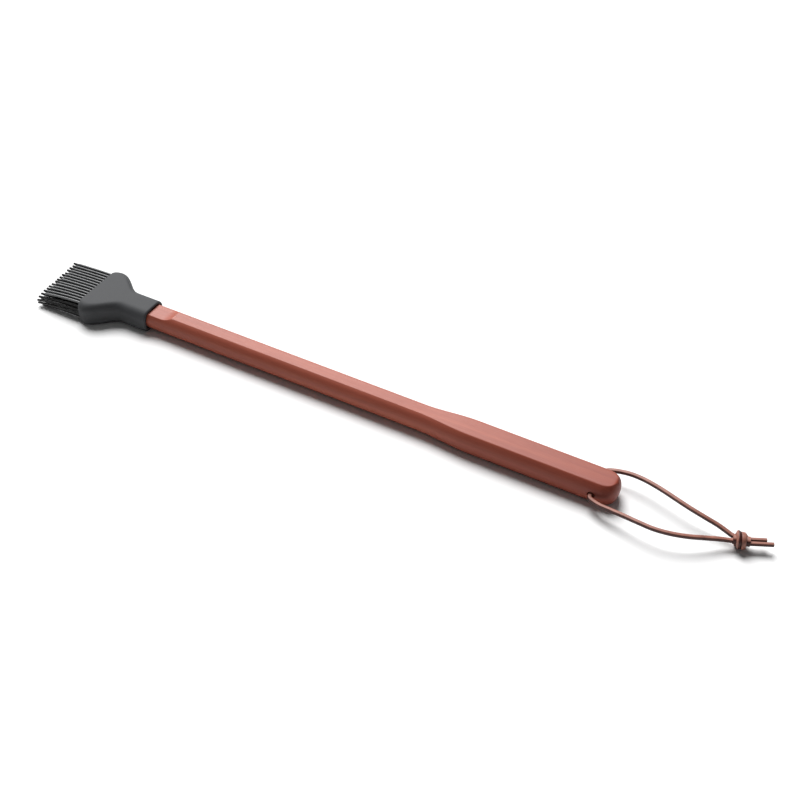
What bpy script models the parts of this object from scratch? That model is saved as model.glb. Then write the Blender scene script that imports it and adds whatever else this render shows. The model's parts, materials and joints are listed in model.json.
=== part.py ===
"""Long-handled basting brush: wooden handle, push-on silicone head, leather hanging lace.

Metres. +X runs from the bristle tips to the butt of the handle, +Y across it, +Z up. The brush
lies on its planed underside, so Z = 0 is the table, and X = 0 is halfway from tips to butt.
"""
import math

import bmesh
import bpy
from mathutils import Vector

MM = 0.001

# Lengths along the brush
HANDLE_REACH = 375.5 * MM       # socket lip to butt
HEAD_LENGTH = 53.0 * MM         # socket lip to the face that the bristles leave
BRISTLE_REACH = 40.5 * MM       # that face to the longest tips

# Handle: a turned bar with a flat planed above and below, both swelling together at the grip
SHAFT_THICKNESS = 16.6 * MM     # over the two flats
GRIP_THICKNESS = 17.6 * MM
SHAFT_RADIUS = 9.4 * MM
GRIP_RADIUS = 11.8 * MM
GRIP_LENGTH = 106.0 * MM        # butt to where the grip starts to narrow
GRIP_BLEND = 42.0 * MM          # length of the S-curve from grip to shaft
BUTT_DOME = 14.5 * MM           # length of the rounded end
TENON_THICKNESS = 12.6 * MM     # over the two milled cheeks
TENON_LENGTH = 24.0 * MM        # inside the socket
CHEEK_EXPOSED = 11.5 * MM       # milled cheek that still shows behind the socket
CUTTER_RADIUS = 20.0 * MM       # round run-out of the milling cutter
LACE_HOLE_RADIUS = 2.4 * MM
LACE_HOLE_INSET = 15.5 * MM     # butt to hole centre

# Silicone head
HEAD_THICKNESS = 17.6 * MM
SOCKET_SIDE_WALL = 2.1 * MM
SOCKET_FIT = 0.3 * MM           # clearance all round the tenon
LIP_ROUND = 1.4 * MM
PAD_HALF_WIDTH = 26.3 * MM
HEAD_CORNER = 6.0 * MM          # rounding of the long edges
NECK_LENGTH = 21.5 * MM         # parallel part behind the flare
FLARE_LENGTH = 26.0 * MM
SHOULDER_ROUND = 4.5 * MM       # how far the front corners draw in
FACE_RIM = 1.2 * MM             # wall around the pocket that the bristle rows sit in
POCKET_SIDE_WALL = 0.875 * MM   # more wall at the two ends of the rows
POCKET_HEADROOM = 1.0 * MM      # above the top row and below the bottom one

# Bristle rows, top to bottom
BRISTLE_ROOT_RADIUS = 0.95 * MM
BRISTLE_TIP_RADIUS = 0.72 * MM
BAR_END = 1.05 * MM             # root bar beyond its outermost bristle
BAR_SETBACK = 1.0 * MM          # bar centre behind the face
ROW_GAP = 0.3 * MM              # between the root bars
ROW_COUNTS = (14, 15, 16, 15, 14)
ROW_SHORTER = (5.0 * MM, 0.4 * MM, 0.0, 0.8 * MM, 3.0 * MM)
TIP_UNEVEN = 0.4 * MM           # cutting tolerance of the tips
ROW_DROOP_DEG = (4.5, 4.0, 3.2, 2.2, 1.0)
POCKET_FIT = 0.3 * MM           # behind and around the root bars

# Leather lace
LACE_RADIUS = 1.5 * MM
LACE_GAP = 0.3 * MM             # between touching lace pieces
KNOT_END_SHARE = 0.72           # radius of the knot's ends against its middle
KNOT_RADIUS = 6.0 * MM
KNOT_LENGTH = 11.5 * MM
TAIL_GAP = 0.4 * MM             # between the two tails where they leave the knot
TAIL_LENGTHS = {"lace_tail_short": 11.5 * MM, "lace_tail_long": 14.0 * MM}

# Where things are
TOTAL_LENGTH = HANDLE_REACH + HEAD_LENGTH + BRISTLE_REACH
BUTT_X = TOTAL_LENGTH / 2
LIP_X = BUTT_X - HANDLE_REACH
FACE_X = LIP_X - HEAD_LENGTH
AXIS_Z = max(GRIP_THICKNESS, HEAD_THICKNESS) / 2
HOLE_X = BUTT_X - LACE_HOLE_INSET
NECK_HALF_WIDTH = SHAFT_RADIUS + SOCKET_FIT + SOCKET_SIDE_WALL

# The root bars share the pocket's height, and the widest row fills its width
ROW_STACK = HEAD_THICKNESS - 2.0 * (FACE_RIM + POCKET_HEADROOM)
BAR_RADIUS = (ROW_STACK - (len(ROW_COUNTS) - 1) * ROW_GAP) / (2.0 * len(ROW_COUNTS))
ROW_SPACING = 2.0 * BAR_RADIUS + ROW_GAP
WIDEST_HALF_BAR = PAD_HALF_WIDTH - FACE_RIM - POCKET_SIDE_WALL - POCKET_FIT
BRISTLE_PITCH = 2.0 * (WIDEST_HALF_BAR - BAR_END) / (max(ROW_COUNTS) - 1)

# The knot lies on the table past the butt, starting where the strands end
KNOT_START = Vector((HOLE_X + 92.9 * MM, -0.4 * MM, KNOT_RADIUS + 0.3 * MM))
KNOT_DIRECTION = Vector((0.96, 0.28, 0.0)).normalized()
KNOT_CENTRE = KNOT_START + KNOT_DIRECTION * KNOT_LENGTH / 2
TAIL_DIRECTION = Vector((0.9, 0.43, 0.0)).normalized()

# Routes of the two strands, as steps from the hole's centre, from the hole's mouth to the knot
NEAR_ROUTE = (
    (0.0, -12.4, 0.0), (0.0, -13.6, 0.0), (2.4, -15.6, 0.1), (8.6, -17.6, 0.4), (16.0, -18.6, 1.0),
    (26.0, -20.0, 1.9), (37.0, -21.6, 2.8), (47.0, -22.3, 3.1), (57.5, -20.7, 2.9), (68.0, -16.6, 1.8),
    (78.0, -10.6, 0.1), (86.0, -5.4, -1.6), (92.5, -2.3, -2.4),
)
FAR_ROUTE = (
    (0.0, 12.4, 0.0), (0.0, 13.6, 0.0), (2.2, 15.6, 0.2), (8.6, 17.3, 0.9), (16.0, 17.8, 1.8),
    (24.0, 17.0, 2.5), (32.5, 15.1, 3.0), (42.0, 12.4, 3.2), (52.0, 9.3, 3.1), (62.0, 6.8, 2.5),
    (72.0, 5.4, 1.2), (82.0, 4.5, -0.6), (91.1, 2.5, -2.3),
)

COLOURS = {
    "handle": ((0.40, 0.085, 0.05), 0.38),
    "silicone_head": ((0.045, 0.046, 0.047), 0.5),
    "bristle": ((0.005, 0.005, 0.005), 0.45),
    "lace": ((0.30, 0.145, 0.115), 0.6),
}


def clear_scene():
    for thing in list(bpy.data.objects):
        bpy.data.objects.remove(thing, do_unlink=True)


def material(name):
    """One Principled material for a named finish."""
    colour, roughness = COLOURS[name]
    made = bpy.data.materials.get(name) or bpy.data.materials.new(name)
    made.use_nodes = True
    shader = made.node_tree.nodes["Principled BSDF"]
    shader.inputs["Base Color"].default_value = (*colour, 1.0)
    shader.inputs["Roughness"].default_value = roughness
    shader.inputs["Metallic"].default_value = 0.0
    return made


def add_object(name, data, finish=None, cutter=False):
    thing = bpy.data.objects.new(name, data)
    bpy.context.scene.collection.objects.link(thing)
    if finish:
        data.materials.append(material(finish))
    if cutter:
        thing.hide_render = True
        thing.display_type = "WIRE"
    return thing


def mesh_from(name, shape):
    """Closes a bmesh into mesh data with its faces pointing out."""
    bmesh.ops.recalc_face_normals(shape, faces=shape.faces)
    data = bpy.data.meshes.new(name)
    shape.to_mesh(data)
    shape.free()
    return data


def shade_round(thing, degrees=35.0):
    thing.data.shade_smooth()
    thing.data.set_sharp_from_angle(angle=math.radians(degrees))


def boolean(thing, other, operation):
    step = thing.modifiers.new(operation.lower(), "BOOLEAN")
    step.object = other
    step.operation = operation
    step.solver = "EXACT"


def ease(share):
    """S-curve from 0 to 1."""
    share = min(max(share, 0.0), 1.0)
    return 0.5 - 0.5 * math.cos(math.pi * share)


def loft(shape, rings, cap=True):
    """Skins rings of equal point count, each a list of Vectors, one after another."""
    loops = [[shape.verts.new(point) for point in ring] for ring in rings]
    count = len(loops[0])
    for first, second in zip(loops, loops[1:]):
        for i in range(count):
            j = (i + 1) % count
            shape.faces.new((first[i], first[j], second[j], second[i]))
    if cap:
        shape.faces.new(loops[0])
        shape.faces.new(loops[-1])


def prism(name, outline, low, high, axis):
    """A closed prism: a 2-D outline pushed from low to high along axis 'X' or 'Y'."""
    place = {
        "X": lambda u, v, w: Vector((w, u, v)),
        "Y": lambda u, v, w: Vector((u, w, v)),
    }[axis]
    shape = bmesh.new()
    loft(shape, [[place(u, v, w) for u, v in outline] for w in (low, high)])
    return add_object(name, mesh_from(name, shape), cutter=True)


# ---------------------------------------------------------------- handle

def narrowed(at_grip, at_shaft, from_butt):
    """A size that runs from its value on the grip to its value on the shaft."""
    return at_grip + (at_shaft - at_grip) * ease((from_butt - GRIP_LENGTH) / GRIP_BLEND)


def handle_radius(from_butt):
    """Radius of the turned bar at a distance from the butt."""
    if from_butt < BUTT_DOME:
        left = 1.0 - from_butt / BUTT_DOME
        return GRIP_RADIUS * math.sqrt(1.0 - left * left)
    return narrowed(GRIP_RADIUS, SHAFT_RADIUS, from_butt)


def turned_bar():
    """The bar before planing, spun about the handle's axis."""
    dome_steps, blend_steps, around = 7, 8, 40
    stations = [BUTT_DOME * (1.0 - math.cos(0.5 * math.pi * i / dome_steps))
                for i in range(dome_steps + 1)]
    stations += [GRIP_LENGTH + GRIP_BLEND * i / blend_steps for i in range(blend_steps + 1)]
    end = HANDLE_REACH + TENON_LENGTH
    shape = bmesh.new()
    points = [Vector((BUTT_X - s, 0.0, AXIS_Z + handle_radius(s))) for s in stations]
    points += [Vector((BUTT_X - end, 0.0, AXIS_Z + SHAFT_RADIUS)), Vector((BUTT_X - end, 0.0, AXIS_Z))]
    line = [shape.verts.new(point) for point in points]
    edges = [shape.edges.new(pair) for pair in zip(line, line[1:])]
    bmesh.ops.spin(shape, geom=line + edges, cent=(0.0, 0.0, AXIS_Z), axis=(1.0, 0.0, 0.0),
                   angle=2.0 * math.pi, steps=around, use_duplicate=False)
    bmesh.ops.remove_doubles(shape, verts=shape.verts, dist=0.00001)
    return add_object("handle", mesh_from("handle", shape), "handle")


def planing_outline():
    """Side view, X and Z, of what planing and milling leave of the bar."""
    flat, cheek = SHAFT_THICKNESS / 2, TENON_THICKNESS / 2
    depth = flat - cheek
    swing = math.acos(1.0 - depth / CUTTER_RADIUS)
    floor_x = LIP_X + CHEEK_EXPOSED
    blend_steps, steps = 8, 5
    top = [(BUTT_X + GRIP_THICKNESS, AXIS_Z + GRIP_THICKNESS / 2)]
    for i in range(blend_steps + 1):
        from_butt = GRIP_LENGTH + GRIP_BLEND * i / blend_steps
        top.append((BUTT_X - from_butt, AXIS_Z + narrowed(GRIP_THICKNESS, SHAFT_THICKNESS, from_butt) / 2))
    for i in range(steps + 1):
        angle = swing * (1.0 - i / steps)
        top.append((floor_x + CUTTER_RADIUS * math.sin(angle),
                    AXIS_Z + cheek + CUTTER_RADIUS * (1.0 - math.cos(angle))))
    top.append((LIP_X - TENON_LENGTH - SHAFT_THICKNESS, AXIS_Z + cheek))
    bottom = [(x, 2.0 * AXIS_Z - z) for x, z in reversed(top)]
    return top + bottom


def build_handle():
    handle = turned_bar()
    side = 2.0 * GRIP_RADIUS
    boolean(handle, prism("planing_cutter", planing_outline(), -side, side, "Y"), "INTERSECT")
    shape = bmesh.new()
    bmesh.ops.create_circle(shape, cap_ends=True, radius=LACE_HOLE_RADIUS, segments=20)
    outline = [(HOLE_X + v.co.x, AXIS_Z + v.co.y) for v in shape.verts]
    shape.free()
    boolean(handle, prism("lace_hole_cutter", outline, -side, side, "Y"), "DIFFERENCE")
    shade_round(handle)


# ---------------------------------------------------------------- silicone head

def rounded_section(x, half_width, half_height, corner, per_corner=5):
    """A rounded rectangle across the brush at x, centred on the axis."""
    corner = min(corner, half_width, half_height)
    ring = []
    for quarter, (side_y, side_z) in enumerate(((1, 1), (-1, 1), (-1, -1), (1, -1))):
        for i in range(per_corner + 1):
            angle = 0.5 * math.pi * (quarter + i / per_corner)
            ring.append(Vector((
                x,
                side_y * (half_width - corner) + corner * math.cos(angle),
                AXIS_Z + side_z * (half_height - corner) + corner * math.sin(angle),
            )))
    return ring


def head_half_width(from_lip):
    """Plan of the head: parallel neck, S-shaped flare, then shoulders that draw in to the face."""
    flared = ease((from_lip - NECK_LENGTH) / FLARE_LENGTH)
    width = NECK_HALF_WIDTH + (PAD_HALF_WIDTH - NECK_HALF_WIDTH) * flared
    into = (from_lip - (HEAD_LENGTH - SHOULDER_ROUND)) / SHOULDER_ROUND
    if into > 0.0:
        width -= FACE_RIM * (1.0 - math.sqrt(1.0 - min(into, 1.0) ** 2))
    return width


def build_head():
    half_height = HEAD_THICKNESS / 2
    rings = []
    lip_steps, flare_steps, shoulder_steps = 3, 9, 4
    for i in range(lip_steps):
        angle = 0.5 * math.pi * i / lip_steps
        inset = LIP_ROUND * (1.0 - math.sin(angle))
        back = LIP_ROUND * (1.0 - math.cos(angle))
        rings.append(rounded_section(LIP_X - back, NECK_HALF_WIDTH - inset, half_height - inset,
                                     HEAD_CORNER - inset))
    stations = [LIP_ROUND] + [NECK_LENGTH + FLARE_LENGTH * i / flare_steps for i in range(flare_steps + 1)]
    stations += [HEAD_LENGTH - SHOULDER_ROUND * (1.0 - math.sin(0.5 * math.pi * i / shoulder_steps))
                 for i in range(shoulder_steps + 1)]
    for station in stations:
        rings.append(rounded_section(LIP_X - station, head_half_width(station), half_height, HEAD_CORNER))
    shape = bmesh.new()
    loft(shape, rings)
    head = add_object("silicone_head", mesh_from("silicone_head", shape), "silicone_head")

    socket = bmesh.new()
    depth = TENON_LENGTH + SOCKET_FIT
    loft(socket, [tenon_section(LIP_X - depth), tenon_section(LIP_X + LIP_ROUND)])
    boolean(head, add_object("socket_cutter", mesh_from("socket_cutter", socket), cutter=True), "DIFFERENCE")

    pocket = bmesh.new()
    back = FACE_X + BAR_SETBACK + BAR_RADIUS + POCKET_FIT
    half_pocket = half_height - FACE_RIM
    wide = WIDEST_HALF_BAR + POCKET_FIT
    ends = (back, FACE_X - FACE_RIM)
    loft(pocket, [rounded_section(x, wide, half_pocket, HEAD_CORNER - FACE_RIM) for x in ends])
    boolean(head, add_object("pocket_cutter", mesh_from("pocket_cutter", pocket), cutter=True), "DIFFERENCE")
    shade_round(head)


def tenon_section(x):
    """Outline of the socket: the tenon's round sides and flat cheeks, grown by the fit."""
    radius = SHAFT_RADIUS + SOCKET_FIT
    half = TENON_THICKNESS / 2 + SOCKET_FIT
    swing = math.asin(half / radius)
    steps = 8
    ring = []
    for side in (0.0, math.pi):
        for i in range(steps + 1):
            angle = side - swing + 2.0 * swing * i / steps
            ring.append(Vector((x, radius * math.cos(angle), AXIS_Z + radius * math.sin(angle))))
    return ring


# ---------------------------------------------------------------- bristles

def row_half_length(count):
    return BRISTLE_PITCH * (count - 1) / 2 + BAR_END


def build_row(number, count, shorter, droop):
    """One row: a round root bar along Y, which is the row's bending axis, and its bristles."""
    height = AXIS_Z + ROW_SPACING * ((len(ROW_COUNTS) - 1) / 2 - number)
    origin = Vector((FACE_X + BAR_SETBACK, 0.0, height))
    half = row_half_length(count)
    bar = bmesh.new()
    sides = 12
    circle = [(BAR_RADIUS * math.cos(2 * math.pi * i / sides), BAR_RADIUS * math.sin(2 * math.pi * i / sides))
              for i in range(sides)]
    loft(bar, [[Vector((x, y, z)) for x, z in circle] for y in (-half, half)])
    name = "bristle_row_%d" % (number + 1)
    row = add_object(name, mesh_from(name, bar), "silicone_head" if number == 0 else "bristle")
    row.location = origin

    tufts = bmesh.new()
    along = Vector((-math.cos(math.radians(droop)), 0.0, -math.sin(math.radians(droop))))
    across = Vector((0.0, 1.0, 0.0))
    up = along.cross(across)
    bristle_sides = 6
    for i in range(count):
        y = BRISTLE_PITCH * (i - (count - 1) / 2)
        uneven = TIP_UNEVEN * (1.0 + math.sin(2.3 * i + 1.7 * number))
        reach = BRISTLE_REACH + BAR_SETBACK - shorter - uneven
        rings = []
        for share, radius in ((0.0, BRISTLE_ROOT_RADIUS), (0.97, BRISTLE_TIP_RADIUS),
                              (1.0, 0.6 * BRISTLE_TIP_RADIUS)):
            centre = Vector((0.0, y, 0.0)) + along * reach * share
            rings.append([centre + radius * (across * math.cos(a) + up * math.sin(a))
                          for a in (2 * math.pi * (k + 0.5) / bristle_sides for k in range(bristle_sides))])
        loft(tufts, rings)
    cutter = add_object("bristles_of_" + name, mesh_from(name + "_bristles", tufts), cutter=True)
    cutter.location = origin
    boolean(row, cutter, "UNION")
    shade_round(row, 50.0)


# ---------------------------------------------------------------- lace

def smooth_route(points, spacing):
    """Points along a Catmull-Rom curve through the route, about spacing apart."""
    knots = [points[0] * 2 - points[1]] + points + [points[-1] * 2 - points[-2]]
    route = []
    for a, b, c, d in zip(knots, knots[1:], knots[2:], knots[3:]):
        steps = max(1, round((c - b).length / spacing))
        for i in range(steps):
            t = i / steps
            route.append(0.5 * (2 * b + (c - a) * t + (2 * a - 5 * b + 4 * c - d) * t * t
                                + (3 * b - a - 3 * c + d) * t ** 3))
    return route + [points[-1]]


def tube(name, route):
    """A plain round cord along a route, closed at both ends."""
    data = bpy.data.curves.new(name, "CURVE")
    data.dimensions = "3D"
    data.bevel_depth = LACE_RADIUS
    data.bevel_resolution = 2
    data.use_fill_caps = True
    spline = data.splines.new("POLY")
    spline.points.add(len(route) - 1)
    for point, place in zip(spline.points, route):
        point.co = (*place, 1.0)
    return add_object(name, data, "lace")


def build_lace():
    centre = Vector((HOLE_X, 0.0, AXIS_Z))
    spacing = 2.5 * 2.0 * LACE_RADIUS
    for name, steps in (("lace_near_strand", NEAR_ROUTE), ("lace_far_strand", FAR_ROUTE)):
        tube(name, smooth_route([centre + Vector(step) * MM for step in steps], spacing))
    mouth = abs(NEAR_ROUTE[0][1]) * MM - LACE_GAP
    tube("lace_in_hole", [centre + Vector((0.0, y, 0.0)) for y in (-mouth, 0.0, mouth)])

    turn = KNOT_DIRECTION.to_track_quat("X", "Z").to_matrix()
    knot = bmesh.new()
    sides, steps = 16, 6
    angles = [2.0 * math.pi * i / sides for i in range(sides)]
    rings = []
    for i in range(steps + 1):
        u = -1.0 + 2.0 * i / steps
        radius = KNOT_RADIUS * (KNOT_END_SHARE + (1.0 - KNOT_END_SHARE) * math.sqrt(1.0 - u * u))
        centre = KNOT_CENTRE + KNOT_DIRECTION * u * KNOT_LENGTH / 2
        rings.append([centre + turn @ Vector((0.0, radius * math.cos(a), radius * math.sin(a)))
                      for a in angles])
    loft(knot, rings)
    shade_round(add_object("lace_knot", mesh_from("lace_knot", knot), "lace"))

    tilt_room = LACE_RADIUS * KNOT_DIRECTION.cross(TAIL_DIRECTION).length
    for side, (name, length) in zip((1.0, -1.0), TAIL_LENGTHS.items()):
        offset = turn @ Vector((0.0, side * (LACE_RADIUS + TAIL_GAP / 2), 0.0))
        start = KNOT_CENTRE + offset + KNOT_DIRECTION * (KNOT_LENGTH / 2 + LACE_GAP + tilt_room)
        tube(name, [start + TAIL_DIRECTION * length * share for share in (0.0, 0.5, 1.0)])


def main():
    clear_scene()
    build_handle()
    build_head()
    for number, row in enumerate(zip(ROW_COUNTS, ROW_SHORTER, ROW_DROOP_DEG)):
        build_row(number, *row)
    build_lace()


main()
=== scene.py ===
import json
import math

import bmesh
import bpy
from mathutils import Euler, Matrix, Vector


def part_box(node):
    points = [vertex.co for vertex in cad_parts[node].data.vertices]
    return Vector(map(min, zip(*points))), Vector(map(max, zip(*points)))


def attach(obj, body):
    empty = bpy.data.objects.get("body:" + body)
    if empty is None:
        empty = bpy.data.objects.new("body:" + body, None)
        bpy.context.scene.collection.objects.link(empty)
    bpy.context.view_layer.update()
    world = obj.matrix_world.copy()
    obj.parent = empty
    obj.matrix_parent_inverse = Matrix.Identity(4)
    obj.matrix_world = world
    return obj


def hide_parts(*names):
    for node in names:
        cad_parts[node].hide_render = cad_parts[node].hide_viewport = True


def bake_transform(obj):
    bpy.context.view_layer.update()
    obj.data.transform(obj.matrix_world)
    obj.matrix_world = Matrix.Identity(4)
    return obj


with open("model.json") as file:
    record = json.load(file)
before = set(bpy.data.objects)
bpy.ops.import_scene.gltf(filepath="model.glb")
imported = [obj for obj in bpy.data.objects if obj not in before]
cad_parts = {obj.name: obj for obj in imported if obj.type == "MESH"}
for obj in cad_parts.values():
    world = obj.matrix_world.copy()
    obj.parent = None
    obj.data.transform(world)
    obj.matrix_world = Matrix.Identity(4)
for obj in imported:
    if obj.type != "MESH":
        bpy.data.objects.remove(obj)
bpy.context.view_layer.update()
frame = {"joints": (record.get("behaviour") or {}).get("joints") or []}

# Long-handled basting brush: lacquered wooden handle, soft silicone head, knotted leather lace.
# Metres, +X from the bristle tips to the butt, +Z up from the table.

MM = 0.001

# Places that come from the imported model
HANDLE_LOW, HANDLE_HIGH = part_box("handle")
HEAD_LOW, HEAD_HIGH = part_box("silicone_head")
JOINT_AT = {joint["name"]: Vector(joint["pos_m"]) for joint in frame["joints"] if "pos_m" in joint}
HOLE = JOINT_AT["lace_swing"]
AXIS_Z = HOLE.z
BUTT_X = HANDLE_HIGH.x
LIP_X = HEAD_HIGH.x
FACE_X = HEAD_LOW.x

# Handle
GRIP_RADIUS = HANDLE_HIGH.y
GRIP_HALF = (HANDLE_HIGH.z - HANDLE_LOW.z) / 2
SHAFT_RADIUS = 9.4 * MM
SHAFT_HALF = 8.3 * MM
CHEEK_HALF = 6.3 * MM
GRIP_LENGTH = 106.0 * MM        # butt to where the grip starts to narrow
GRIP_BLEND = 42.0 * MM          # S-curve from grip to shaft
BUTT_DOME = 12.5 * MM
BUTT_BLUNT = 2.7                # 2 would be a plain ellipse
CHEEK_EXPOSED = 11.5 * MM       # milled cheek behind the socket lip
CUTTER_RADIUS = 20.0 * MM       # round run-out of the milling cutter
SCOOP_LENGTH = 13.0 * MM        # stretch of the run-out that gets close stations
MILLING_CRISPNESS = 60.0        # how sharply the run-out meets the flat
DOME_CRISPNESS = 26.0           # and the flat meets the dome
THINNEST = 0.01 * MM            # keeps the last ring of the dome open
GRIP_EDGE = 1.7 * MM            # how far the planed arrises are sanded over
SHAFT_EDGE = 0.75 * MM
HOLE_RADIUS = 2.3 * MM
HOLE_MOUTH_DEPTH = 1.0 * MM     # the bore widens over this depth at each end
HOLE_MOUTH_FLARE = 0.8 * MM
HOLE_MOUTH_STEPS = ((0.5, 1.06), (0.5, 1.16), (4.0, 1.5))   # share of the flare outwards, growth
TENON_SHOWN = 6.0 * MM          # station behind the lip, and how short the tenon's end stops
TENON_END_GAP = 0.5 * MM

# Silicone head
HEAD_HALF = (HEAD_HIGH.z - HEAD_LOW.z) / 2
PAD_HALF_WIDTH = HEAD_HIGH.y
NECK_HALF_WIDTH = 11.8 * MM
NECK_LENGTH = 21.5 * MM
FLARE_LENGTH = 26.0 * MM
SHOULDER_ROUND = 7.0 * MM
SHOULDER_INSET = 2.8 * MM
HEAD_CORNER = 6.6 * MM          # the soft upper edges
FOOT_CORNER = 2.0 * MM          # the tighter lower edges of the pad
NECK_FOOT_CORNER = 4.0 * MM     # and of the neck
LIP_ROUND = 1.5 * MM
FACE_RIM = 1.1 * MM             # round edge of the face that the bristles leave
FACE_STEPS = (2.0 * MM, 4.5 * MM)
FACE_DISH = 0.15                # the face sinks this share of each step
SMALLEST_CORNER = 0.8 * MM
SOCKET_FIT = 0.35 * MM
SOCKET_SHOWN = 4.0 * MM         # depth to which the dark gap round the wood is modelled
SOCKET_RINGS = (SOCKET_SHOWN, 0.9 * MM, 0.25 * MM)
SOCKET_MOUTH = 0.25 * MM        # the socket's last ring is wider by this much
SOCKET_CORNER = 0.8 * MM

# Bristles, top row to bottom row
BRISTLE_PITCH = 3.05 * MM
BRISTLE_REACH = HEAD_LOW.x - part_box("bristle_row_3")[0].x
ROW_COUNTS = (14, 15, 16, 15, 14)
ROW_SHORTER = (6.5 * MM, 0.4 * MM, 0.0, 0.8 * MM, 3.0 * MM)
ROW_DROOP = (3.2 * MM, 2.8 * MM, 2.2 * MM, 1.5 * MM, 0.6 * MM)
BRISTLE_ROOT = 0.92 * MM        # radii
BRISTLE_TIP = 0.88 * MM
BRISTLE_STUB = 2.0 * MM         # the cylinder that a bristle starts from
BRISTLE_STEPS = 13
TIP_LENGTH = 0.6 * MM
TIP_STEPS = ((0.4 * MM, 0.96), (0.12 * MM, 0.84), (0.08 * MM, 0.55))   # length, share of the tip's radius
BRISTLE_SUNK = 1.2 * MM         # roots start this far inside the head
BRISTLE_SPLAY = 0.2 * MM        # sideways at the tip, for each bristle off the middle
SWAY = 0.3 * MM                 # uneven sideways lean
UNEVEN_DROOP = 0.12             # shares of the droop and of the length
UNEVEN_LENGTH = 0.012
FAR_LONGER = 0.006              # for each bristle past the middle towards +Y
EDGE_DROOP = 0.5 * MM           # more droop for each of the last bristles towards -Y
EDGE_FROM = 4.5                 # which are those so many places off the middle
LOW_SPREAD = 1.08               # widest pitch of the two lower rows, against the others'
TABLE_GAP = 0.1 * MM
ROW_SINK = (0.0, 0.0, 0.0, 0.5 * MM, 1.1 * MM)

# Leather lace; the routes are steps from the hole's centre, in millimetres
LACE = 2.8 * MM
LACE_THICK = LACE * 0.96
LACE_CORNER = 0.7 * MM
TAIL_WIDTH, TAIL_THICK = LACE * 0.93, LACE * 0.9
CUT_END_SHARE = 0.88            # size of a cut end's last ring, which stands out by CUT_END_OUT
CUT_END_OUT = 0.12 * MM
NEAR_ROUTE = (
    (0.0, -12.4, 0.0), (0.0, -13.6, 0.0), (2.4, -15.6, 0.1), (8.6, -17.6, 0.4), (16.0, -18.6, 1.0),
    (26.0, -20.0, 1.9), (37.0, -21.6, 2.8), (47.0, -22.3, 3.1), (57.5, -20.7, 2.9), (68.0, -16.6, 1.8),
    (78.0, -10.6, 0.1), (86.0, -5.4, -1.6), (92.5, -2.3, -2.4),
)
FAR_ROUTE = (
    (0.0, 12.4, 0.0), (0.0, 13.6, 0.0), (2.2, 15.6, 0.2), (8.6, 17.3, 0.9), (16.0, 17.8, 1.8),
    (24.0, 17.0, 2.5), (32.5, 15.1, 3.0), (42.0, 12.4, 3.2), (52.0, 9.3, 3.1), (62.0, 6.8, 2.5),
    (72.0, 5.4, 1.2), (82.0, 4.5, -0.6), (91.1, 2.5, -2.3),
)
KNOT_CENTRE = HOLE + Vector((98.4, 1.2, 6.3)) * MM - Vector((0.0, 0.0, AXIS_Z))
KNOT_DIRECTION = Vector((0.96, 0.28, 0.0)).normalized()
TAIL_DIRECTION = Vector((0.9, 0.43, 0.0)).normalized()
TAIL_LENGTHS = {"short": 9.5 * MM, "long": 14.0 * MM}
TAIL_HIDDEN = 1.8 * MM          # length of each tail inside the knot
TAIL_START = 4.6 * MM           # along the knot, and to either side of its middle
TAIL_ASIDE = 1.7 * MM
STRAND_SPACING = 1.2 * MM       # between the rings of a strand
UNDER_WRAPS = (0.2, 0.4, 0.6)   # points of a strand between its last step and the knot's middle
WRAP_TURNS = 1.35
WRAP_STEPS = 40
WRAP_SHIFTS = (-2.0 * MM, 1.2 * MM)     # middle of each wrap along the knot
WRAP_PITCH = 2.6 * MM
WRAP_OUT, WRAP_WAVE, WRAP_TUCK = 4.35 * MM, 0.25 * MM, 2.2 * MM
WRAP_WIDTH, WRAP_THICK = 3.2 * MM, 2.5 * MM
CORE_PLACES = (-5.4, -2.5, 0.0, 2.5, 5.4)
CORE_WIDTH, CORE_THICK, CORE_CORNER = 6.4 * MM, 5.6 * MM, 2.2 * MM


# ---------------------------------------------------------------- camera

def aim_camera(place, turn, tilt, roll, lens):
    data = bpy.data.cameras.new("camera")
    data.lens = lens
    data.sensor_width = 36.0
    data.clip_start = 0.01
    data.clip_end = 20.0
    camera = bpy.data.objects.new("camera", data)
    bpy.context.scene.collection.objects.link(camera)
    facing = Euler((math.radians(90.0 - tilt), 0.0, math.radians(turn))).to_matrix().to_4x4()
    camera.matrix_world = Matrix.Translation(place) @ facing @ Matrix.Rotation(math.radians(roll), 4, "Z")
    bpy.context.scene.camera = camera


aim_camera(place=Vector((0.3844, -0.5933, 0.6224)), turn=27.875, tilt=42.03, roll=1.154, lens=58.5)


# ---------------------------------------------------------------- modelling helpers

def clean_start():
    """Leaves edit mode with nothing selected, and the 3-D cursor at the origin."""
    if bpy.context.object and bpy.context.object.mode != "OBJECT":
        bpy.ops.object.mode_set(mode="OBJECT")
    bpy.ops.object.select_all(action="DESELECT")
    bpy.context.scene.cursor.location = (0.0, 0.0, 0.0)


def pick(*pieces):
    """Selects these pieces and nothing else, the first of them active."""
    clean_start()
    for piece in pieces:
        piece.select_set(True)
    bpy.context.view_layer.objects.active = pieces[0]


def settle(piece):
    """Moves the piece's place into its mesh, so that its object sits at the origin."""
    pick(piece)
    bpy.ops.object.transform_apply(location=True, rotation=True, scale=True)
    return piece


def apply_modifiers(piece):
    pick(piece)
    for step in list(piece.modifiers):
        bpy.ops.object.modifier_apply(modifier=step.name)


def shade(piece, degrees=35.0):
    pick(piece)
    bpy.ops.object.shade_smooth_by_angle(angle=math.radians(degrees))


def outward(piece):
    """Merges doubles and turns every face outwards."""
    pick(piece)
    bpy.ops.object.mode_set(mode="EDIT")
    bpy.ops.mesh.select_all(action="SELECT")
    bpy.ops.mesh.remove_doubles(threshold=0.00001)
    bpy.ops.mesh.normals_make_consistent(inside=False)
    bpy.ops.object.mode_set(mode="OBJECT")


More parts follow.
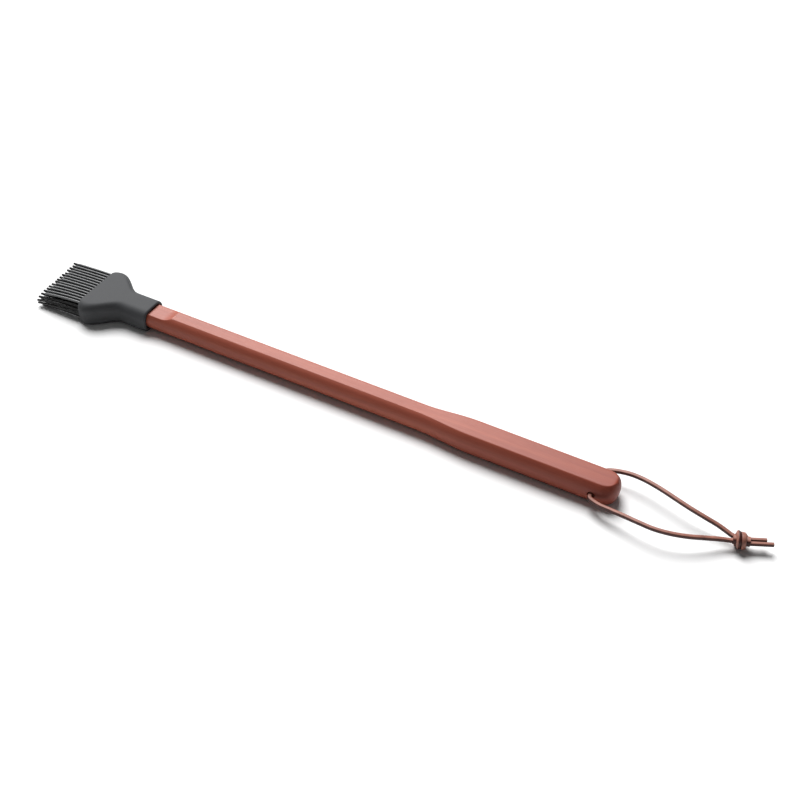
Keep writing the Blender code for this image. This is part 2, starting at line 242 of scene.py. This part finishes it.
def joined(name, pieces):
    """Makes one piece of several; it keeps each as a closed body."""
    pick(*pieces)
    bpy.ops.object.join()
    piece = bpy.context.object
    piece.name = piece.data.name = name
    return piece


def drawn_out(name, rings):
    """Starts from a circle with as many points as a ring, and extrudes it from ring to ring.

    Every extruded loop is moved onto its own outline, and both ends are filled.
    """
    clean_start()
    count = len(rings[0])
    bpy.ops.mesh.primitive_circle_add(vertices=count, radius=MM, fill_type="NOTHING")
    piece = bpy.context.object
    piece.name = piece.data.name = name
    bpy.ops.object.mode_set(mode="EDIT")
    bpy.ops.mesh.select_mode(type="VERT")
    bpy.ops.mesh.select_all(action="SELECT")
    shape = bmesh.from_edit_mesh(piece.data)
    shape.verts.ensure_lookup_table()
    order = list(range(count))
    for index, point in zip(order, rings[0]):
        shape.verts[index].co = point
    for ring in rings[1:]:
        bpy.ops.mesh.extrude_region_move(TRANSFORM_OT_translate={"value": (0.0, 0.0, 0.0)})
        shape = bmesh.from_edit_mesh(piece.data)
        shape.verts.ensure_lookup_table()
        behind = set(order)
        ahead = []
        for index in order:
            vert = shape.verts[index]
            others = [edge.other_vert(vert) for edge in vert.link_edges]
            ahead.append(next(other.index for other in others if other.select and other.index not in behind))
        for index, point in zip(ahead, ring):
            shape.verts[index].co = point
        order = ahead
    bpy.ops.mesh.edge_face_add()
    bpy.ops.mesh.select_all(action="DESELECT")
    shape = bmesh.from_edit_mesh(piece.data)
    shape.verts.ensure_lookup_table()
    for index in range(count):
        shape.verts[index].select = True
    shape.select_flush(True)
    bpy.ops.mesh.edge_face_add()
    bpy.ops.object.mode_set(mode="OBJECT")
    outward(piece)
    return piece


def ease(share):
    """S-curve from 0 to 1."""
    share = min(max(share, 0.0), 1.0)
    return 0.5 - 0.5 * math.cos(math.pi * share)


def softly_smaller(first, second, crispness):
    """The smaller of two sizes, rounded over where they cross."""
    return (first ** -crispness + second ** -crispness) ** (-1.0 / crispness)


def smooth_route(points, spacing):
    """Points along a Catmull-Rom curve through the route, about spacing apart."""
    knots = [points[0] * 2 - points[1]] + points + [points[-1] * 2 - points[-2]]
    route = []
    for a, b, c, d in zip(knots, knots[1:], knots[2:], knots[3:]):
        steps = max(1, round((c - b).length / spacing))
        for i in range(steps):
            t = i / steps
            route.append(0.5 * (2 * b + (c - a) * t + (2 * a - 5 * b + 4 * c - d) * t * t
                                + (3 * b - a - 3 * c + d) * t ** 3))
    return route + [points[-1]]


def lace_frames(route, start_up):
    """At each point of a route: the point, the lace's sideways direction and its upward one."""
    frames, up = [], start_up
    for i, point in enumerate(route):
        along = (route[min(i + 1, len(route) - 1)] - route[max(i - 1, 0)]).normalized()
        up = (up - along * up.dot(along)).normalized()
        frames.append((point, along.cross(up), up))
    return frames


def lace_rings(frames, width, thick, corner, per_corner=3):
    """Rounded-square outlines of the cut leather, one at each frame."""
    rings = []
    for point, side, up in frames:
        ring = []
        for quarter, (u, v) in enumerate(((1, 1), (-1, 1), (-1, -1), (1, -1))):
            for k in range(per_corner + 1):
                angle = 0.5 * math.pi * (quarter + k / per_corner)
                ring.append(point + side * (u * (width / 2 - corner) + corner * math.cos(angle))
                            + up * (v * (thick / 2 - corner) + corner * math.sin(angle)))
        rings.append(ring)
    return rings


def mark_grain_side_and_painted_light(piece, frames, thick):
    """Stores on each point how far it lies towards the grain side, the face that looks up or out and is
    painted paler: 1 on it, 0 in the middle of the cut.
    """
    layer = piece.data.attributes.new("grain_side_and_painted_light", "FLOAT", "POINT")
    for vert, value in zip(piece.data.vertices, layer.data):
        point, side, up = min(frames, key=lambda frame: (frame[0] - vert.co).length_squared)
        value.value = (vert.co - point).dot(up) / (thick / 2)


def cut_lace(name, route, width=LACE, thick=LACE_THICK, corner=LACE_CORNER,
             start_up=Vector((0.0, 0.0, 1.0))):
    """A length of lace along a route; its cut ends are slightly drawn in."""
    frames = lace_frames(route, start_up)
    rings = lace_rings(frames, width, thick, corner)
    shrunk = []
    for ring, towards in ((rings[0], rings[1]), (rings[-1], rings[-2])):
        centre = sum(ring, Vector()) / len(ring)
        inner = sum(towards, Vector()) / len(towards)
        out = (centre - inner).normalized() * CUT_END_OUT
        shrunk.append([centre + (p - centre) * CUT_END_SHARE + out for p in ring])
    piece = drawn_out(name, [shrunk[0]] + rings + [shrunk[1]])
    shade(piece, 40.0)
    mark_grain_side_and_painted_light(piece, frames, thick)
    return piece


# ---------------------------------------------------------------- materials

def srgb(code):
    """Linear colour from an sRGB hex code such as '#a4564a'."""
    parts = [int(code[i:i + 2], 16) / 255.0 for i in (1, 3, 5)]
    return [p / 12.92 if p <= 0.04045 else ((p + 0.055) / 1.055) ** 2.4 for p in parts] + [1.0]


def new_material(name):
    made = bpy.data.materials.new(name)
    made.use_nodes = True
    return made, made.node_tree, made.node_tree.nodes["Principled BSDF"]


MIXED = {"data_type": "RGBA"}
MULTIPLIED = {"data_type": "RGBA", "blend_type": "MULTIPLY"}


def node(tree, kind, settings=None, stops=(), **links):
    """Adds a node with its settings, the colours of a ramp and its links.

    Stops are (position, sRGB hex). A link is input name = value or another node's output; input
    names use _ for a space, and a name such as in_2 is an input's number.
    """
    made = tree.nodes.new(kind)
    for key, value in (settings or {}).items():
        setattr(made, key, value)
    for number, (position, code) in enumerate(stops):
        elements = made.color_ramp.elements
        element = elements[number] if number < len(elements) else elements.new(position)
        element.position, element.color = position, srgb(code)
    for key, value in links.items():
        slot = made.inputs[int(key[3:])] if key.startswith("in_") else made.inputs[key.replace("_", " ")]
        if isinstance(value, bpy.types.NodeSocket):
            tree.links.new(value, slot)
        else:
            slot.default_value = value
    return made


def cells(*sizes):
    """Texture scale along each axis for a pattern whose cells are so many millimetres long."""
    return tuple(1.0 / (size * MM) for size in sizes)


def lacquered_beech():
    """Beech, stained reddish brown and satin lacquered: fine straight grain, short pores, soft gloss."""
    made, tree, shader = new_material("stained_lacquered_beech")
    place = node(tree, "ShaderNodeTexCoord").outputs["Object"]
    # growth rings about 3 mm apart across the handle, and 143 mm long along it
    at = node(tree, "ShaderNodeMapping", Vector=place, Scale=cells(143.0, 3.03, 3.03)).outputs["Vector"]
    rings = node(tree, "ShaderNodeTexNoise", Vector=at, Scale=1.0, Detail=3.0, Roughness=0.5, Distortion=0.3)
    # pores and fibre 0.5 mm apart and 8 mm long, drawn coarser than the real 0.1 mm so that they show
    at = node(tree, "ShaderNodeMapping", Vector=place, Scale=cells(8.33, 0.5, 0.5)).outputs["Vector"]
    fibre = node(tree, "ShaderNodeTexNoise", Vector=at, Scale=1.0, Detail=4.0, Roughness=0.6)
    # the stain takes unevenly, in patches of about 70 by 25 mm
    at = node(tree, "ShaderNodeMapping", Vector=place, Scale=cells(71.4, 25.0, 25.0),
              Location=(0.3, 0.0, 0.0)).outputs["Vector"]
    stain = node(tree, "ShaderNodeTexNoise", Vector=at, Scale=1.0, Detail=2.0)
    colour = node(tree, "ShaderNodeValToRGB", Fac=rings.outputs["Fac"],
                  stops=((0.30, "#9e4f3c"), (0.52, "#a4533e"), (0.74, "#ac5a43"))).outputs["Color"]
    streaks = node(tree, "ShaderNodeValToRGB", Fac=fibre.outputs["Fac"],
                   stops=((0.32, "#d9c9c4"), (0.55, "#ffffff"))).outputs["Color"]
    colour = node(tree, "ShaderNodeMix", MULTIPLIED, in_0=0.3, in_6=colour, in_7=streaks).outputs[2]
    patches = node(tree, "ShaderNodeValToRGB", Fac=stain.outputs["Fac"],
                   stops=((0.3, "#eee6e4"), (0.7, "#ffffff"))).outputs["Color"]
    colour = node(tree, "ShaderNodeMix", MULTIPLIED, in_0=0.8, in_6=colour, in_7=patches).outputs[2]
    # and darker on the thick grip, over its last 150 mm: painted shade for the light that falls off towards
    # the butt
    along = node(tree, "ShaderNodeSeparateXYZ", Vector=place)
    grip = node(tree, "ShaderNodeMapRange", Value=along.outputs["X"], From_Min=0.08, From_Max=0.23)
    colour = node(tree, "ShaderNodeMix", MULTIPLIED, in_0=grip.outputs["Result"], in_6=colour,
                  in_7=srgb("#dfcfcd")).outputs[2]
    tree.links.new(colour, shader.inputs["Base Color"])
    gloss = node(tree, "ShaderNodeMapRange", Value=fibre.outputs["Fac"], To_Min=0.56, To_Max=0.48)
    tree.links.new(gloss.outputs["Result"], shader.inputs["Roughness"])
    bump = node(tree, "ShaderNodeBump", Height=fibre.outputs["Fac"], Strength=0.10, Distance=0.05 * MM)
    tree.links.new(bump.outputs["Normal"], shader.inputs["Normal"])
    shader.inputs["IOR"].default_value = 1.4
    shader.inputs["Coat Weight"].default_value = 0.04
    shader.inputs["Coat Roughness"].default_value = 0.15
    return made


def silicone(name, dark, light, roughness, speck, ior=1.41):
    """Moulded silicone rubber with a fine spark-eroded skin, which gives a soft even sheen."""
    made, tree, shader = new_material(name)
    place = node(tree, "ShaderNodeTexCoord").outputs["Object"]
    # the mould's skin in cells of 0.7 mm, drawn coarser than the real 0.05 mm so that it shows
    skin = node(tree, "ShaderNodeTexNoise", Vector=place, Scale=cells(0.7)[0], Detail=3.0, Roughness=0.55)
    # dust and oil film over about 25 mm
    film = node(tree, "ShaderNodeTexNoise", Vector=place, Scale=cells(25.0)[0], Detail=2.0)
    colour = node(tree, "ShaderNodeValToRGB", Fac=film.outputs["Fac"],
                  stops=((0.35, dark), (0.65, light))).outputs["Color"]
    specks = node(tree, "ShaderNodeValToRGB", Fac=skin.outputs["Fac"],
                  stops=((0.4, "#e8e8e8"), (0.62, "#ffffff"))).outputs["Color"]
    colour = node(tree, "ShaderNodeMix", MULTIPLIED, in_0=speck, in_6=colour, in_7=specks).outputs[2]
    tree.links.new(colour, shader.inputs["Base Color"])
    gloss = node(tree, "ShaderNodeMapRange", Value=film.outputs["Fac"], To_Min=roughness - 0.05,
                 To_Max=roughness + 0.05)
    tree.links.new(gloss.outputs["Result"], shader.inputs["Roughness"])
    bump = node(tree, "ShaderNodeBump", Height=skin.outputs["Fac"], Strength=0.12, Distance=0.05 * MM)
    tree.links.new(bump.outputs["Normal"], shader.inputs["Normal"])
    shader.inputs["IOR"].default_value = ior
    return made


def cut_leather(name, face, edge):
    """Vegetable-tanned leather lace: smooth grain side up, darker burnished cut sides, fine creases. The
    pale top and dark underside are partly painted light and painted shade.
    """
    made, tree, shader = new_material(name)
    place = node(tree, "ShaderNodeTexCoord").outputs["Object"]
    # grain cells 0.8 mm, drawn coarser than the real 0.3 mm so that they show
    grain = node(tree, "ShaderNodeTexVoronoi", {"feature": "DISTANCE_TO_EDGE"}, Vector=place,
                 Scale=cells(0.8)[0]).outputs["Distance"]
    tone = node(tree, "ShaderNodeTexNoise", Vector=place, Scale=cells(6.0)[0], Detail=4.0)
    side = node(tree, "ShaderNodeAttribute", {"attribute_name": "grain_side_and_painted_light"})
    # the grain side is pale and the cut sides and underside dark: partly the leather's own stain, partly
    # painted light on the face that looks up or out and painted shade underneath and inside the knot
    share = node(tree, "ShaderNodeMapRange", Value=side.outputs["Fac"], From_Min=0.7, From_Max=0.97)
    colour = node(tree, "ShaderNodeMix", MIXED, in_0=share.outputs["Result"], in_6=srgb(edge),
                  in_7=srgb(face)).outputs[2]
    patches = node(tree, "ShaderNodeValToRGB", Fac=tone.outputs["Fac"],
                   stops=((0.3, "#c4b4ae"), (0.7, "#ffffff"))).outputs["Color"]
    colour = node(tree, "ShaderNodeMix", MULTIPLIED, in_0=0.8, in_6=colour, in_7=patches).outputs[2]
    creases = node(tree, "ShaderNodeValToRGB", Fac=grain,
                   stops=((0.0, "#a89890"), (0.12, "#ffffff"))).outputs["Color"]
    colour = node(tree, "ShaderNodeMix", MULTIPLIED, in_0=0.35, in_6=colour, in_7=creases).outputs[2]
    tree.links.new(colour, shader.inputs["Base Color"])
    bump = node(tree, "ShaderNodeBump", Height=grain, Strength=0.25, Distance=0.15 * MM)
    tree.links.new(bump.outputs["Normal"], shader.inputs["Normal"])
    shader.inputs["Roughness"].default_value = 0.52
    shader.inputs["IOR"].default_value = 1.45
    return made


def dress(piece, material):
    piece.data.materials.clear()
    piece.data.materials.append(material)


BEECH = lacquered_beech()
HEAD_SILICONE = silicone("grey_moulded_silicone", "#434446", "#494a4c", 0.7, 0.5, ior=1.33)
# the bristles are one grey silicone in three copies: the top row's lighter grey is partly painted light, and
# the black middle rows and dark grey lower rows are painted shade between the rows
GREY_AND_PAINTED_LIGHT_ROW_SILICONE = silicone("grey_and_painted_light_bristle_silicone", "#5e5f60", "#696a6b", 0.4, 0.3)
PAINTED_SHADE_CORE_SILICONE = silicone("painted_shade_black_bristle_silicone", "#070708", "#0b0b0c", 0.55, 0.3)
PAINTED_SHADE_LOW_SILICONE = silicone("painted_shade_dark_grey_bristle_silicone", "#303031", "#3a3a3b", 0.4, 0.3)
LEATHER = cut_leather("red_brown_leather_lace", "#a26c5d", "#4a201b")


# ---------------------------------------------------------------- lace

def build_strand(name, steps, node_name):
    """A strand from the hole to the knot; its last few millimetres run on under the wraps."""
    route = smooth_route([HOLE + Vector(step) * MM for step in steps], STRAND_SPACING)
    route += [route[-1].lerp(KNOT_CENTRE, share) for share in UNDER_WRAPS]
    piece = cut_lace(name, route)
    length = sum((b - a).length for a, b in zip(route, route[1:]))
    dress(piece, LEATHER)
    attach(piece, "lace")
    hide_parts(node_name)
    return piece, route, length


def build_lace_in_hole():
    mouth = abs(NEAR_ROUTE[0][1]) * MM
    route = [HOLE + Vector((0.0, mouth * share, 0.0)) for share in (-1.0, -0.5, 0.0, 0.5, 1.0)]
    piece = cut_lace("lace_through_handle", route)
    dress(piece, LEATHER)
    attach(piece, "lace")
    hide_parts("lace_in_hole")
    return piece


def knot_point(turn, along, out, angle):
    """A point so far along the knot's axis, so far out from it and at this angle round it."""
    return KNOT_CENTRE + turn @ Vector((along, out * math.cos(angle), out * math.sin(angle)))


def build_knot():
    """Both strands tied in one overhand knot: two laces side by side wind round and tuck under."""
    turn = KNOT_DIRECTION.to_track_quat("X", "Z").to_matrix()
    pieces = []
    for number, shift in enumerate(WRAP_SHIFTS):
        route = []
        for i in range(WRAP_STEPS + 1):
            t = i / WRAP_STEPS
            angle = math.radians(-120.0 + 40.0 * number) + 2.0 * math.pi * WRAP_TURNS * t
            out = WRAP_OUT + WRAP_WAVE * math.sin(3.0 * angle + number) - WRAP_TUCK * (2.0 * t - 1.0) ** 8
            route.append(knot_point(turn, shift + (t - 0.5) * WRAP_PITCH, out, angle))
        pieces.append(cut_lace("knot_wrap_%d" % number, route, width=WRAP_WIDTH, thick=WRAP_THICK,
                               start_up=(route[0] - KNOT_CENTRE).normalized()))
    core = [knot_point(turn, along * MM, 0.0, 0.0) for along in CORE_PLACES]
    pieces.append(cut_lace("knot_core", core, width=CORE_WIDTH, thick=CORE_THICK, corner=CORE_CORNER))
    knot = joined("overhand_knot", pieces)
    dress(knot, LEATHER)
    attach(knot, "lace")
    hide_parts("lace_knot")
    return knot


def build_tails():
    turn = KNOT_DIRECTION.to_track_quat("X", "Z").to_matrix()
    tails = []
    for side, (name, length) in zip((1.0, -1.0), TAIL_LENGTHS.items()):
        start = KNOT_CENTRE + turn @ Vector((TAIL_START, side * TAIL_ASIDE, 0.0))
        end = start + TAIL_DIRECTION * (length + TAIL_HIDDEN)
        route = [start.lerp(end, i / 8) for i in range(9)]
        tail = cut_lace("lace_end_" + name, route, width=TAIL_WIDTH, thick=TAIL_THICK)
        dress(tail, LEATHER)
        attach(tail, "lace")
        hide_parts("lace_tail_" + name)
        tails.append(tail)
    return tails


near_strand, near_route, near_length = build_strand("near_lace", NEAR_ROUTE, "lace_near_strand")
far_strand, far_route, far_length = build_strand("far_lace", FAR_ROUTE, "lace_far_strand")
through_lace = build_lace_in_hole()
knot = build_knot()
tails = build_tails()


# ---------------------------------------------------------------- handle

def handle_sizes(x):
    """Radius of the turned bar and half its planed thickness at x."""
    from_butt = BUTT_X - x
    narrow = ease((from_butt - GRIP_LENGTH) / GRIP_BLEND)
    radius = GRIP_RADIUS + (SHAFT_RADIUS - GRIP_RADIUS) * narrow
    half = GRIP_HALF + (SHAFT_HALF - GRIP_HALF) * narrow
    if from_butt < BUTT_DOME:
        left = 1.0 - from_butt / BUTT_DOME
        radius = GRIP_RADIUS * max(1.0 - left ** BUTT_BLUNT, 0.0) ** (1.0 / BUTT_BLUNT)
    past_cheek = x - (LIP_X + CHEEK_EXPOSED)
    if past_cheek < 0.0:
        half = CHEEK_HALF
    elif past_cheek < CUTTER_RADIUS:
        milled = CHEEK_HALF + CUTTER_RADIUS - math.sqrt(CUTTER_RADIUS ** 2 - past_cheek ** 2)
        half = softly_smaller(milled, half, MILLING_CRISPNESS)
    return radius, softly_smaller(half, max(radius, THINNEST), DOME_CRISPNESS)


def planed_section(x, radius, half, edge, flat_steps=5, edge_steps=5, side_steps=10):
    """The outline across the handle at x: two flats, four rounded edges and two round sides."""
    edge = min(edge, 0.5 * radius)
    flat_y = math.sqrt(max((radius - edge) ** 2 - (half - edge) ** 2, 0.0))
    tip = math.atan2(half - edge, flat_y)
    quarter = [(flat_y * i / flat_steps, half) for i in range(flat_steps)]
    for i in range(edge_steps):
        angle = math.pi / 2 + (tip - math.pi / 2) * i / edge_steps
        quarter.append((flat_y + edge * math.cos(angle), half - edge + edge * math.sin(angle)))
    for i in range(side_steps + 1):
        angle = tip * (1.0 - i / side_steps)
        quarter.append((radius * math.cos(angle), radius * math.sin(angle)))
    lower = [(y, -z) for y, z in reversed(quarter[:-1])]
    right = quarter + lower
    left = [(-y, z) for y, z in reversed(right[1:-1])]
    return [Vector((x, y, AXIS_Z + z)) for y, z in right + left]


def edge_round(x):
    """How far the planed arrises are sanded over: softest on the grip."""
    return GRIP_EDGE + (SHAFT_EDGE - GRIP_EDGE) * ease((BUTT_X - x - GRIP_LENGTH) / GRIP_BLEND)


def handle_stations():
    """Where the handle's outlines stand, from the butt to the tenon: closest where the shape turns."""
    dome = [BUTT_X - BUTT_DOME * (1.0 - math.cos(0.5 * math.pi * i / 20)) for i in range(1, 21)]
    grip = [BUTT_X - BUTT_DOME - (GRIP_LENGTH - BUTT_DOME) * i / 10 for i in range(1, 10)]
    blend = [BUTT_X - GRIP_LENGTH - GRIP_BLEND * i / 28 for i in range(29)]
    shaft_end = LIP_X + CHEEK_EXPOSED + SCOOP_LENGTH
    shaft = [blend[-1] + (shaft_end - blend[-1]) * i / 12 for i in range(1, 13)]
    scoop = [shaft_end - SCOOP_LENGTH * i / 26 for i in range(1, 27)]
    tenon = [LIP_X + TENON_SHOWN, LIP_X, HANDLE_LOW.x + TENON_END_GAP]
    return dome + grip + blend + shaft + scoop + tenon


def drill(piece, place, radius, half_length, flare):
    """Cuts a hole across the piece, with its two mouths eased over."""
    clean_start()
    bpy.ops.mesh.primitive_cylinder_add(vertices=36, radius=radius, depth=2.0 * half_length, location=place,
                                        rotation=(math.pi / 2, 0.0, 0.0), end_fill_type="NGON")
    cutter = settle(bpy.context.object)
    for side in (-1.0, 1.0):
        bpy.ops.object.mode_set(mode="EDIT")
        bpy.ops.mesh.select_mode(type="FACE")
        bpy.ops.mesh.select_all(action="DESELECT")
        shape = bmesh.from_edit_mesh(cutter.data)
        for face in shape.faces:
            face.select = face.normal.y * side > 0.9
        bmesh.update_edit_mesh(cutter.data)
        for share, grow in HOLE_MOUTH_STEPS:
            push = (0.0, side * share * flare, 0.0)
            bpy.ops.mesh.extrude_region_move(TRANSFORM_OT_translate={"value": push})
            bpy.ops.transform.resize(value=(grow, 1.0, grow), center_override=place)
        bpy.ops.object.mode_set(mode="OBJECT")
    outward(cutter)
    step = piece.modifiers.new("drilled", "BOOLEAN")
    step.object, step.operation, step.solver = cutter, "DIFFERENCE", "EXACT"
    apply_modifiers(piece)
    bpy.data.objects.remove(cutter, do_unlink=True)


def build_handle():
    rings = []
    for x in handle_stations():
        radius, half = handle_sizes(x)
        rings.append(planed_section(x, radius, half, edge_round(x)))
    handle = drawn_out("turned_handle", rings)
    drill(handle, HOLE, HOLE_RADIUS, GRIP_RADIUS - HOLE_MOUTH_DEPTH, HOLE_MOUTH_FLARE)
    shade(handle, 32.0)
    dress(handle, BEECH)
    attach(handle, "handle")
    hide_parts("handle")


build_handle()


# ---------------------------------------------------------------- silicone head

def head_half_width(from_lip):
    """Plan of the head: parallel neck, S-shaped flare, then shoulders that draw in to the face."""
    flare = ease((from_lip - NECK_LENGTH) / FLARE_LENGTH)
    width = NECK_HALF_WIDTH + (PAD_HALF_WIDTH - NECK_HALF_WIDTH) * flare
    into = (from_lip - (LIP_X - FACE_X - SHOULDER_ROUND)) / SHOULDER_ROUND
    if into > 0.0:
        width -= SHOULDER_INSET * (1.0 - math.sqrt(1.0 - min(into, 1.0) ** 2))
    return width


def head_quarter(half_width, half, corner, top_steps=5, corner_steps=9, side_steps=6):
    """A quarter of the head's outline: half its top, one round corner and half its side."""
    corner = min(corner, 0.92 * half)
    quarter = [((half_width - corner) * i / top_steps, half) for i in range(top_steps)]
    quarter += [(half_width - corner + corner * math.sin(0.5 * math.pi * i / corner_steps),
                 half - corner + corner * math.cos(0.5 * math.pi * i / corner_steps))
                for i in range(corner_steps)]
    return quarter + [(half_width, (half - corner) * (1.0 - i / side_steps)) for i in range(side_steps + 1)]


def head_section(x, half_width, half, inset=0.0):
    """A rounded rectangle with as many points as the handle's outline, from its top centre round."""
    flare = ease((LIP_X - x - NECK_LENGTH) / FLARE_LENGTH)
    foot = NECK_FOOT_CORNER + (FOOT_CORNER - NECK_FOOT_CORNER) * flare
    upper = head_quarter(half_width, half, HEAD_CORNER - inset)
    lower = head_quarter(half_width, half, max(foot - inset, SMALLEST_CORNER))
    right = upper + [(y, -z) for y, z in reversed(lower[:-1])]
    left = [(-y, z) for y, z in reversed(right[1:-1])]
    return [Vector((x, y, AXIS_Z + z)) for y, z in right + left]


def build_head():
    """From inside the socket, over the lip and out along the neck and flare to the face."""
    rings = []
    wood = planed_section(0.0, SHAFT_RADIUS + SOCKET_FIT, CHEEK_HALF + SOCKET_FIT, SOCKET_CORNER)
    for depth in SOCKET_RINGS:
        grow = 1.0 + SOCKET_MOUTH / SHAFT_RADIUS if depth == SOCKET_RINGS[-1] else 1.0
        rings.append([Vector((LIP_X - depth, p.y * grow, AXIS_Z + (p.z - AXIS_Z) * grow)) for p in wood])
    for i in range(7):
        angle = 0.5 * math.pi * i / 6
        inset = LIP_ROUND * (1.0 - math.sin(angle))
        back = LIP_ROUND * (1.0 - math.cos(angle))
        rings.append(head_section(LIP_X - back, NECK_HALF_WIDTH - inset, HEAD_HALF - inset, inset))
    length = LIP_X - FACE_X
    stations = [NECK_LENGTH * i / 4 for i in range(1, 4)]
    stations += [NECK_LENGTH + FLARE_LENGTH * i / 26 for i in range(27)]
    stations += [length - SHOULDER_ROUND * (1.0 - math.sin(0.5 * math.pi * i / 6)) for i in range(1, 6)]
    for station in stations:
        rings.append(head_section(LIP_X - station, head_half_width(station), HEAD_HALF))
    face_half_width = head_half_width(length)
    for i in range(1, 6):
        angle = 0.5 * math.pi * i / 5
        inset = FACE_RIM * (1.0 - math.cos(angle))
        x = FACE_X + FACE_RIM * (1.0 - math.sin(angle))
        rings.append(head_section(x, face_half_width - inset, HEAD_HALF - inset, inset))
    for inset in FACE_STEPS:
        x = FACE_X + FACE_DISH * inset
        rings.append(head_section(x, face_half_width - inset, HEAD_HALF - inset, inset))
    head = drawn_out("silicone_pad", rings)
    shade(head, 50.0)
    dress(head, HEAD_SILICONE)
    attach(head, "head")
    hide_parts("silicone_head")


build_head()


# ---------------------------------------------------------------- bristles

def one_bristle(reach):
    """A round tapered bristle along -X: a cylinder extruded on in steps, with a rounded tip."""
    clean_start()
    bpy.ops.mesh.primitive_cylinder_add(vertices=12, radius=BRISTLE_ROOT, depth=BRISTLE_STUB,
                                        location=(-BRISTLE_STUB / 2, 0.0, 0.0),
                                        rotation=(0.0, -math.pi / 2, 0.0))
    bristle = settle(bpy.context.object)
    bpy.ops.object.mode_set(mode="EDIT")
    bpy.ops.mesh.select_mode(type="FACE")
    bpy.ops.mesh.select_all(action="DESELECT")
    shape = bmesh.from_edit_mesh(bristle.data)
    for face in shape.faces:
        face.select = face.normal.x < -0.9
    bmesh.update_edit_mesh(bristle.data)
    step = (reach - BRISTLE_STUB - TIP_LENGTH) / BRISTLE_STEPS
    taper = (BRISTLE_TIP - BRISTLE_ROOT) / BRISTLE_STEPS
    moves = [(step, BRISTLE_ROOT + taper * i) for i in range(1, BRISTLE_STEPS + 1)]
    moves += [(push, BRISTLE_TIP * share) for push, share in TIP_STEPS]
    radius = BRISTLE_ROOT
    at = BRISTLE_STUB
    for push, wanted in moves:
        at += push
        bpy.ops.mesh.extrude_region_move(TRANSFORM_OT_translate={"value": (-push, 0.0, 0.0)})
        bpy.ops.transform.resize(value=(1.0, wanted / radius, wanted / radius),
                                 center_override=(-at, 0.0, 0.0))
        radius = wanted
    bpy.ops.object.mode_set(mode="OBJECT")
    return bristle


def unevenness(*numbers):
    """A repeatable value from -1 to 1 for a bristle, so that no two lie quite alike."""
    scrambled = math.sin(sum(n * f for n, f in zip(numbers, (12.9898, 78.233, 37.719)))) * 43758.5453
    return 2.0 * (scrambled - math.floor(scrambled)) - 1.0


def bristle_row(number, count, shorter, droop, material, slot):
    """One row, each bristle with its own slight droop, splay and length."""
    # the middle row's joint is the one that the other rows' joints follow
    height = JOINT_AT["bristle_bend" if number == 2 else "bristle_bend_%d" % (number + 1)].z
    root_z = height - ROW_SINK[number]
    root_x = FACE_X + BRISTLE_SUNK
    pitch = BRISTLE_PITCH
    if number > 2:
        pitch = min(BRISTLE_PITCH * (max(ROW_COUNTS) - 1) / (count - 1), LOW_SPREAD * BRISTLE_PITCH)
    pattern = one_bristle(BRISTLE_REACH + BRISTLE_SUNK - shorter)
    copies = []
    for i in range(count):
        across = i - (count - 1) / 2
        copy = bpy.data.objects.new("bristle", pattern.data.copy())
        bpy.context.scene.collection.objects.link(copy)
        sag = droop * (1.0 + UNEVEN_DROOP * unevenness(i, number, 1))
        sag += EDGE_DROOP * max(0.0, -across - EDGE_FROM)
        sway = SWAY * unevenness(i, number, 2) + BRISTLE_SPLAY * across
        length = 1.0 + UNEVEN_LENGTH * unevenness(i, number, 3) + FAR_LONGER * max(across, 0.0)
        for vert in copy.data.vertices:
            share = -vert.co.x / BRISTLE_REACH
            vert.co.x *= length
            vert.co.y += sway * share ** 2
            vert.co.z -= sag * share ** 1.6
            vert.co += Vector((root_x, pitch * across, root_z))
            vert.co.z = max(vert.co.z, TABLE_GAP)
        copies.append(copy)
    bpy.data.objects.remove(pattern, do_unlink=True)
    row = joined("bristles_%d" % (number + 1), copies)
    shade(row, 60.0)
    dress(row, material)
    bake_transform(row)
    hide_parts("bristle_row_%d" % (number + 1))


# lighter top row as painted light, darker rows beneath it as painted shade
ROW_FINISHES = (GREY_AND_PAINTED_LIGHT_ROW_SILICONE, PAINTED_SHADE_CORE_SILICONE, PAINTED_SHADE_CORE_SILICONE, PAINTED_SHADE_LOW_SILICONE, PAINTED_SHADE_LOW_SILICONE)
for number, row in enumerate(zip(ROW_COUNTS, ROW_SHORTER, ROW_DROOP, ROW_FINISHES)):
    bristle_row(number, *row, "head_silicone" if number == 0 else "bristle_silicone")


# ---------------------------------------------------------------- floor and light

def build_floor():
    clean_start()
    bpy.ops.mesh.primitive_plane_add(size=60.0, location=(0.0, 0.0, 0.0))
    floor = bpy.context.object
    floor.name = "floor"
    made, tree, shader = new_material("white_paper_sweep")
    shader.inputs["Base Color"].default_value = srgb("#f6f6f6")
    shader.inputs["Roughness"].default_value = 0.9
    shader.inputs["Specular IOR Level"].default_value = 0.1
    floor.data.materials.append(made)


def hang(name, data, place, target):
    lamp = bpy.data.objects.new(name, data)
    bpy.context.scene.collection.objects.link(lamp)
    lamp.location = place
    lamp.rotation_euler = (Vector(target) - Vector(place)).to_track_quat("-Z", "Y").to_euler()


def light_scene():
    """A broad soft key from behind and from the head's side, in a dim room."""
    world = bpy.data.worlds.new("studio")
    bpy.context.scene.world = world
    world.use_nodes = True
    backdrop = world.node_tree.nodes["Background"]
    backdrop.inputs["Color"].default_value = srgb("#ffffff")
    backdrop.inputs["Strength"].default_value = 0.1
    key = bpy.data.lights.new("key", "SUN")
    key.energy = 5.4
    key.angle = math.radians(42.0)
    hang("key", key, (-0.65, 0.64, 1.0), (0.0, 0.0, 0.0))
    bpy.context.scene.view_settings.view_transform = "Standard"


build_floor()
light_scene()
